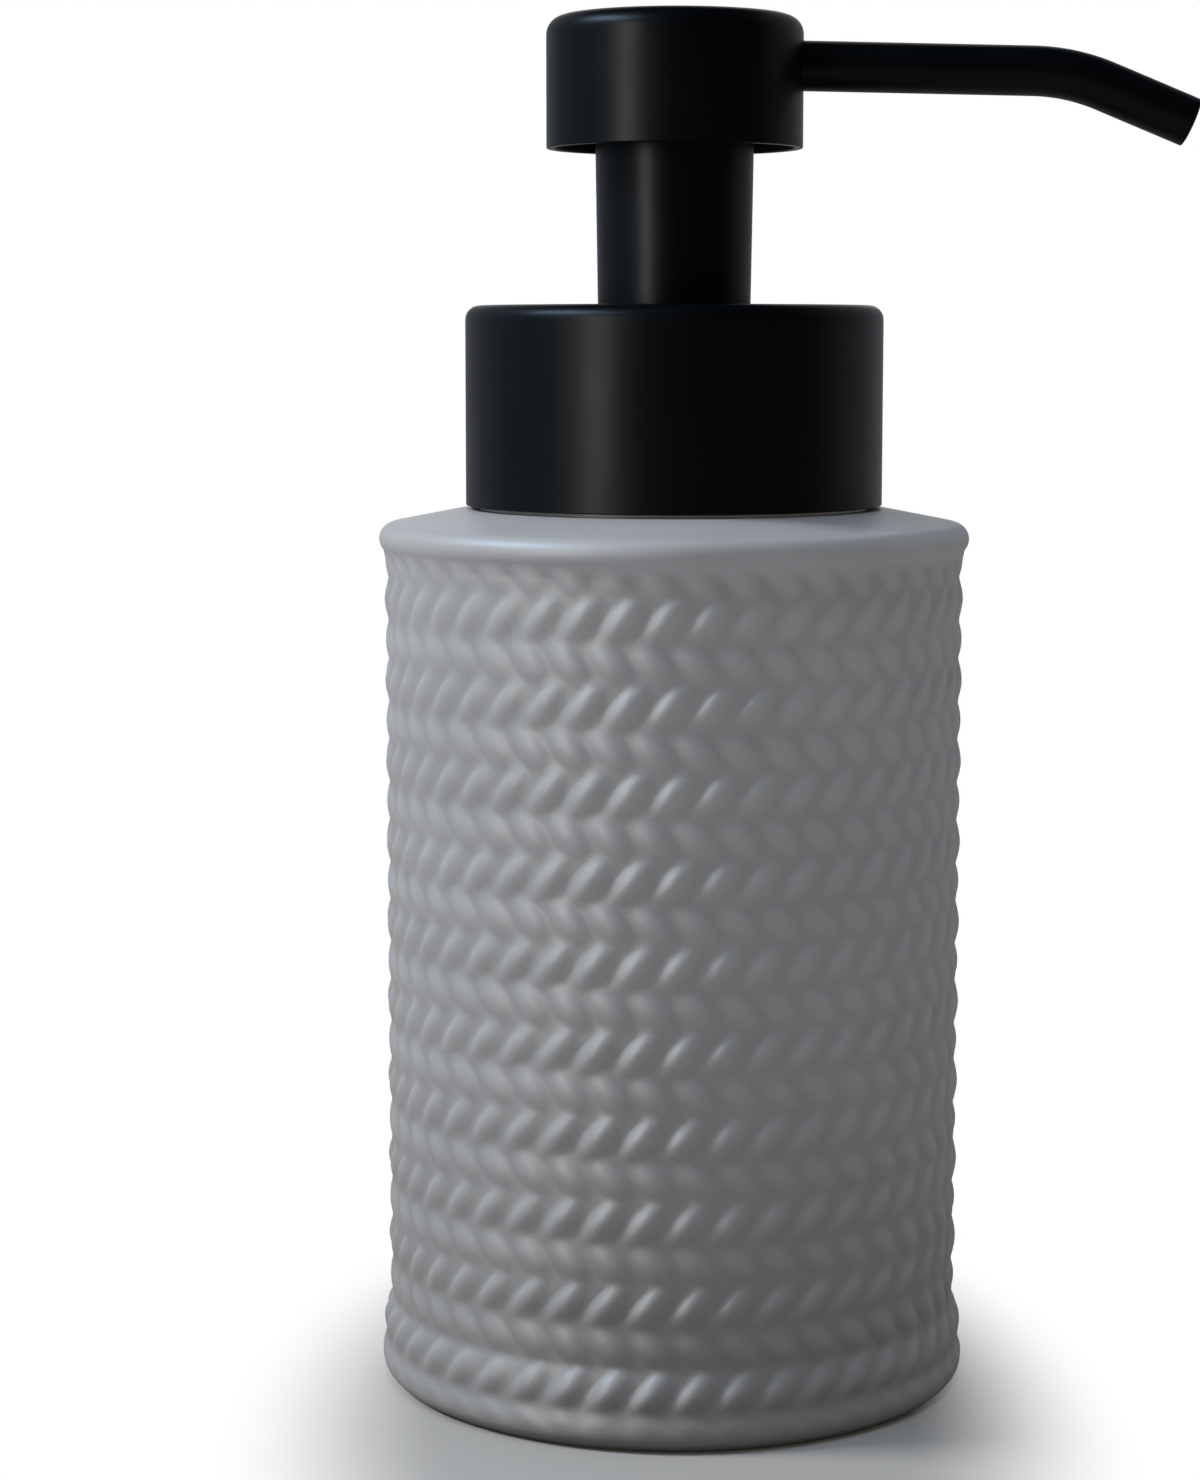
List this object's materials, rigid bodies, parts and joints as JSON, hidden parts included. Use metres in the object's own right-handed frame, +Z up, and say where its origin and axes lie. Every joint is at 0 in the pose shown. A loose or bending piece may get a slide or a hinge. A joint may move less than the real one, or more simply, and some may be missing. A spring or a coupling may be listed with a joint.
{
  "type": "soap pump dispenser",
  "caption": "Round ceramic soap bottle with knit-pattern relief and a black screw-on foaming pump: wide collar, sleeve, cup-shaped head and long thin spout.",
  "frame": {"origin": "on the bottle's axis, on the plane it rests on", "axes": "+Z up along the bottle's axis, +X towards the spout, +Y by the right-hand rule"},
  "size_m": [0.104, 0.0758, 0.1735],
  "materials": {
    "ceramic_glaze": "satin grey glaze over a knit relief",
    "black_metal": "matte black powder coat",
    "black_plastic": "moulded, fine matte",
    "natural_plastic": "moulded natural polypropylene",
    "white_plastic": "moulded white",
    "clear_tube": "extruded natural polyethylene",
    "spring_steel": "bright drawn wire",
    "seal_foam": "closed-cell foam washer",
    "valve_rubber": "soft elastomer",
    "glass_ball": "polished glass",
    "screen_nylon": "woven nylon screen"
  },
  "bodies": {
    "bottle": {"bottle": "ceramic_glaze", "neck_ring": "white_plastic"},
    "washer": {"neck_gasket": "seal_foam"},
    "pump": {"pump_cylinder": "natural_plastic", "guide_ring": "natural_plastic", "dip_tube": "clear_tube", "return_spring": "spring_steel"},
    "collar": {"collar_shell": "black_metal", "closure": "white_plastic"},
    "plunger": {"liquid_piston": "natural_plastic", "valve_stem": "natural_plastic", "air_piston": "natural_plastic", "air_valve": "valve_rubber", "mesh_holder": "natural_plastic", "mesh_screens": "screen_nylon"},
    "head": {"head_shell": "black_metal", "head_core": "black_plastic", "sleeve": "black_plastic", "spout_tube": "black_metal"},
    "inlet_valve": {"inlet_ball": "glass_ball"},
    "outlet_valve": {"outlet_ball": "glass_ball"}
  },
  "joints": [
    {"name": "pump_lift", "type": "slide", "parent": "bottle", "child": "washer", "axis": [0, 0, 1], "range_m": [0, 0.125]},
    {"name": "thread_rise", "type": "slide", "parent": "washer", "child": "pump", "axis": [0, 0, 1], "range_m": [0, 0.00505]},
    {"name": "collar_turn", "type": "hinge", "parent": "pump", "child": "collar", "pos_m": [0, 0, 0.125], "axis": [0, 0, 1], "range_deg": [0, 450]},
    {"name": "press", "type": "slide", "parent": "pump", "child": "plunger", "axis": [0, 0, -1], "range_m": [0, 0.015], "stiffness_N_per_m": 800, "springref_m": -0.006, "deforming": ["return_spring"]},
    {"name": "head_turn", "type": "hinge", "parent": "plunger", "child": "head", "pos_m": [0, 0, 0.14], "axis": [0, 0, 1], "continuous": true},
    {"name": "inlet_check", "type": "slide", "parent": "pump", "child": "inlet_valve", "axis": [0, 0, 1], "range_m": [0, 0.001]},
    {"name": "outlet_check", "type": "slide", "parent": "plunger", "child": "outlet_valve", "axis": [0, 0, 1], "range_m": [0, 0.001]}
  ],
  "couplings": [
    {"joint": "thread_rise", "follows": "collar_turn", "m_per_rad": 0.00063662}
  ]
}
